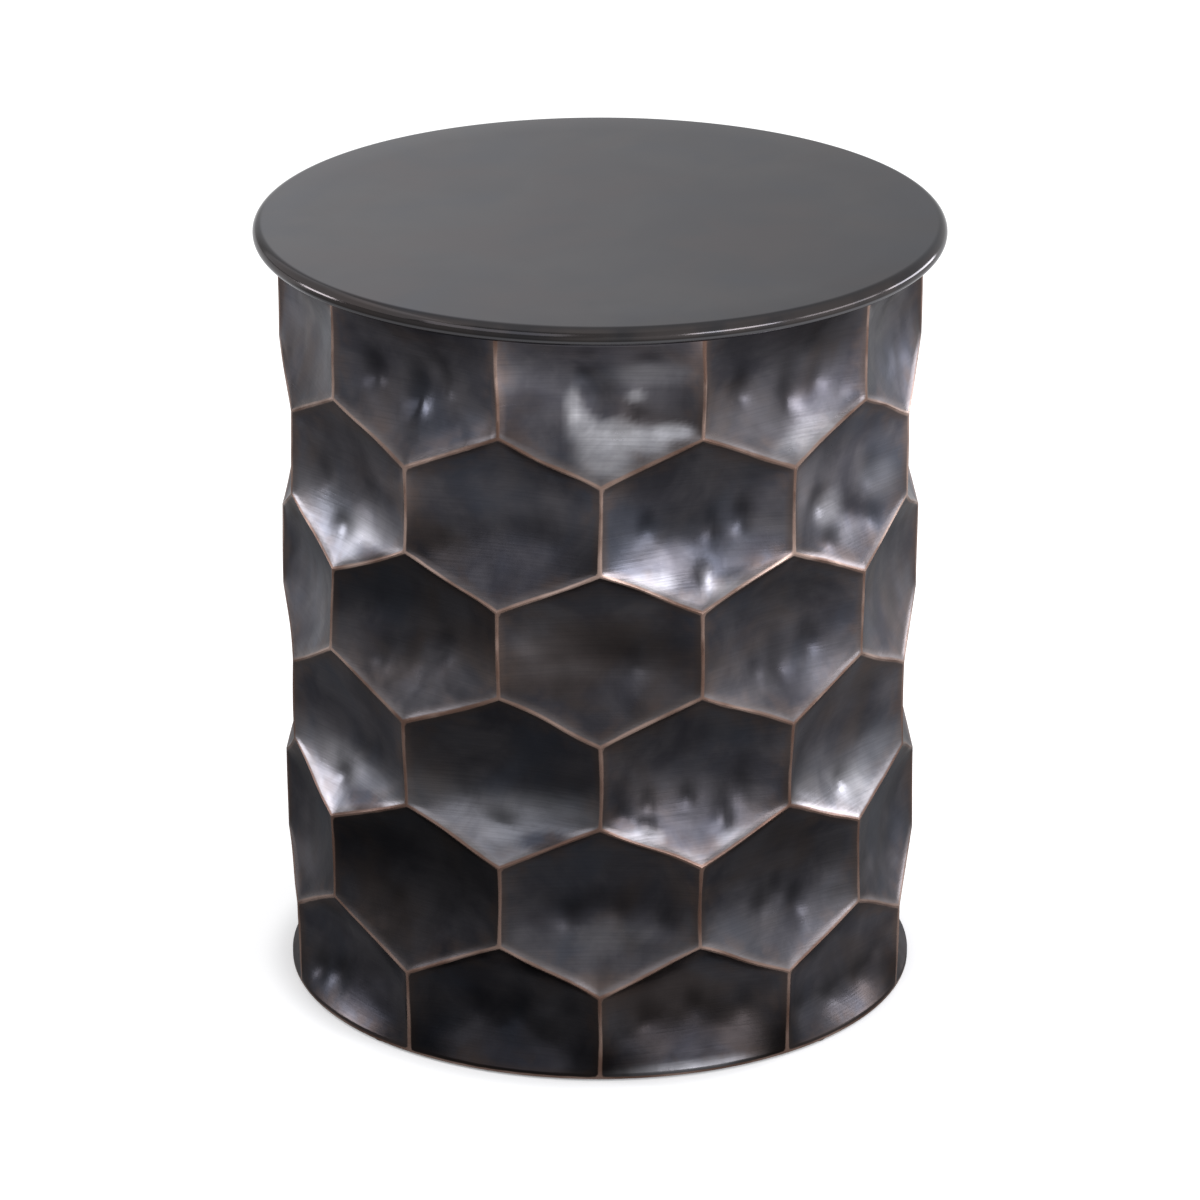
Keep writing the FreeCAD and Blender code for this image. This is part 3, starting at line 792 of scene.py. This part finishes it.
def dress():
    """The two pieces that replace solids, and the finishes of everything else. Gives back the lid."""
    finishes = {
        "hammered_patina": patina_surface(), "lid_patina": lid_surface(),
        "black_steel": paint_surface(), "stained_board": board_surface(),
        "zinc_screw": zinc_surface(), "black_rubber": rubber_surface(),
    }
    drum = add("hammered_drum", drum_mesh())
    lid = add("lid_sheet_top", lid_mesh())
    for piece, body, node, slot in ((drum, "drum", "drum_shell", "hammered_patina"),
                                    (lid, "lid", "lid_skin", "lid_patina")):
        piece.data.materials.append(finishes[slot])
        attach(piece, body)
        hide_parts(node)
    for part in frame["record"]["subparts"]:
        node = frame["nodes"][part["node"]]
        node.data.materials.clear()
        node.data.materials.append(finishes[part["material_slot"]])
    return lid


# The camera, as fitted to the photograph. It looks at a point on the drum's axis.
CAMERA_ELEVATION = math.radians(21.38)
CAMERA_DISTANCE = 3.857
CAMERA_TARGET = 0.2338
CAMERA_LENS = 188.88
CAMERA_SENSOR = 36.0

# The lights: azimuth and elevation (degrees), distance, width and height (metres), radiance, tint, and
# whether the lid alone is left out or lit. Its flat top would mirror the strong boxes whole in the
# views from the sides, so low strips light its edge instead.
WHITE = (1.0, 1.0, 1.0)
COOL_WHITE = (0.94, 0.95, 1.0)
COOLER_WHITE = (0.92, 0.94, 1.0)
AIM_HEIGHT = 0.25
LIGHTS = {
    "box_front_right": (41, 15, 1.6, 0.80, 0.62, 7.5, COOL_WHITE, "EXCLUDE"),
    "low_front_right": (41, 6, 1.6, 0.80, 0.26, 9.5, COOL_WHITE, "INCLUDE"),
    "box_back_right": (116, 16, 1.6, 0.90, 0.62, 7.5, COOL_WHITE, "EXCLUDE"),
    "low_back_right": (116, 6, 1.6, 0.90, 0.26, 9.5, COOL_WHITE, "INCLUDE"),
    "box_side_left": (-97, 14, 1.6, 0.44, 0.58, 7.5, COOL_WHITE, "EXCLUDE"),
    "low_side_left": (-97, 6, 1.6, 0.44, 0.26, 9.5, COOL_WHITE, "INCLUDE"),
    "box_front_left": (-33, 22, 1.8, 1.40, 0.80, 1.2, COOLER_WHITE, None),
    "low_right": (79, 6, 1.6, 0.90, 0.26, 3.5, COOL_WHITE, "INCLUDE"),
    "lid_fill": (-100, 32, 2.5, 4.00, 2.20, 0.6, WHITE, "INCLUDE"),
}

EXTRA_WHITE = 0.25
FLOOR_REACH = 60.0
FLOOR_PALE = (0.86, 0.86, 0.86)
FLOOR_GLOW_AND_FOOT_SHADOW = (0.18, 0.40)   # keeps the floor white, with a painted contact shadow: less at the foot, and more away from it
FOOT_SHADOW_EDGES = (0.189, 0.214)   # distances from the axis over which the glow changes, the edge of the painted shadow at the foot


def place_camera():
    data = bpy.data.cameras.new("camera")
    data.lens = CAMERA_LENS
    data.sensor_width = CAMERA_SENSOR
    camera = add("camera", data)
    back = CAMERA_DISTANCE * math.cos(CAMERA_ELEVATION)
    rise = CAMERA_DISTANCE * math.sin(CAMERA_ELEVATION)
    camera.location = (0.0, -back, CAMERA_TARGET + rise)
    camera.rotation_euler = (math.pi / 2 - CAMERA_ELEVATION, 0.0, 0.0)
    bpy.context.scene.camera = camera


def softbox(name, azimuth, elevation, distance, width, height, radiance, tint):
    """A large soft light aimed at the middle of the table. Azimuth 0 is the front and 90 the right."""
    data = bpy.data.lights.new(name, "AREA")
    data.shape = "RECTANGLE"
    data.size = width
    data.size_y = height
    data.energy = radiance * math.pi * width * height
    data.color = tint
    light = add(name, data)
    a, e = math.radians(azimuth), math.radians(elevation)
    light.location = (distance * math.cos(e) * math.sin(a), -distance * math.cos(e) * math.cos(a),
                      AIM_HEIGHT + distance * math.sin(e))
    light.rotation_euler = (math.pi / 2 - e, 0.0, a)
    light.visible_camera = False
    return light


def link_light(light, piece, state):
    """Keeps a light off one piece, or to it alone."""
    group = bpy.data.collections.new(light.name + "_link")
    group.objects.link(piece)
    group.collection_objects[0].light_linking.link_state = state
    light.light_linking.receiver_collection = group


def place_lights(lid):
    for name, (*box, link) in LIGHTS.items():
        light = softbox(name, *box)
        if link:
            link_light(light, lid, link)


def paint_studio():
    """A studio: white to the eye and in diffuse light, darker and uneven in glossy surfaces."""
    world = bpy.data.worlds.new("studio")
    world.use_nodes = True
    world.cycles.sampling_method = "NONE"
    bpy.context.scene.world = world
    tree = world.node_tree
    tree.nodes.clear()
    new = tree.nodes.new
    split = new("ShaderNodeSeparateXYZ")
    tree.links.new(new("ShaderNodeTexCoord").outputs["Generated"], split.inputs[0])

    def span(axis, low, high, to_low, to_high):
        node = new("ShaderNodeMapRange")
        node.interpolation_type = "SMOOTHSTEP"
        tree.links.new(split.outputs[axis], node.inputs["Value"])
        for key, value in (("From Min", low), ("From Max", high),
                           ("To Min", to_low), ("To Max", to_high)):
            node.inputs[key].default_value = value
        return node.outputs["Result"]

    def join(kind, a, b):
        node = new("ShaderNodeMath")
        node.operation = kind
        for socket, value in zip(node.inputs, (a, b)):
            if isinstance(value, float):
                socket.default_value = value
            else:
                tree.links.new(value, socket)
        return node.outputs[0]

    # In a glossy surface: dim on the left, bright on the right, a backdrop behind and a ceiling above.
    sides = span("X", -0.5, 0.5, 0.26, 0.95)
    behind = join("MULTIPLY", span("Y", 0.2, 0.7, 0.0, 1.0), span("X", -0.75, -0.2, 0.3, 1.0))
    # The backdrop, which the top mirrors, is brighter left of its middle and a little dimmer low down.
    slope = join("MULTIPLY", span("X", -0.07, 0.06, 1.37, 0.94), span("X", -0.25, -0.10, 0.74, 1.0))
    slope = join("MULTIPLY", slope, span("Z", 0.31, 0.40, 0.90, 1.0))
    behind = join("MULTIPLY", behind, slope)
    above = span("Z", 0.45, 0.85, 0.0, 1.05)
    mirrored = join("MAXIMUM", sides, join("MAXIMUM", behind, above))
    rays = new("ShaderNodeLightPath")
    evenly = join("MAXIMUM", rays.outputs["Is Camera Ray"], rays.outputs["Is Diffuse Ray"])
    strength = new("ShaderNodeMix")
    tree.links.new(evenly, strength.inputs["Factor"])
    tree.links.new(mirrored, strength.inputs["A"])
    strength.inputs["B"].default_value = 1.0
    # To the eye it is brighter still, so that the backdrop is plain white.
    extra = join("MULTIPLY", rays.outputs["Is Camera Ray"], EXTRA_WHITE)
    background = new("ShaderNodeBackground")
    tree.links.new(join("ADD", strength.outputs[0], extra), background.inputs["Strength"])
    out = new("ShaderNodeOutputWorld")
    tree.links.new(background.outputs[0], out.inputs["Surface"])


def lay_floor():
    """A plain pale floor, with a painted contact shadow where its glow is weaker round the foot. In the
    metal it shows as a dim one that is darkest round the foot.
    """
    mesh = bpy.data.meshes.new("floor")
    square = ((-1, -1), (1, -1), (1, 1), (-1, 1))
    mesh.from_pydata([(x * FLOOR_REACH, y * FLOOR_REACH, 0) for x, y in square], [], [[0, 1, 2, 3]])
    s = Surface("pale_floor")
    from_axis = s.from_axis()
    s.set(Base_Color=FLOOR_PALE, Roughness=0.9, Specular_IOR_Level=0.0)
    # Painted shadow: the glow is weaker close to the foot.
    s.set(Emission_Color=WHITE, Emission_Strength=s.span(from_axis, *FOOT_SHADOW_EDGES, *FLOOR_GLOW_AND_FOOT_SHADOW))
    along = s.axes()
    sides = s.span(along["X"], -0.8, 0.8, 0.45, 1.0)
    sides = s.join("MAXIMUM", sides, s.span(along["Y"], 0.0, 0.7))
    dim = s.tree.nodes.new("ShaderNodeEmission")
    far = s.span(from_axis, 0.20, 1.3, 0.34, 0.88)
    s.put(dim.inputs["Strength"], s.join("MULTIPLY", sides, far))
    either = s.tree.nodes.new("ShaderNodeMixShader")
    s.put(either.inputs[0], s.tree.nodes.new("ShaderNodeLightPath").outputs["Is Glossy Ray"])
    s.put(either.inputs[1], s.shader.outputs["BSDF"])
    s.put(either.inputs[2], dim.outputs[0])
    s.put(s.out.inputs["Surface"], either.outputs[0])
    mesh.materials.append(s.material)
    floor = add("floor", mesh)


bpy.context.scene.view_settings.view_transform = "Standard"
place_camera()
lid_piece = dress()
place_lights(lid_piece)
paint_studio()
lay_floor()
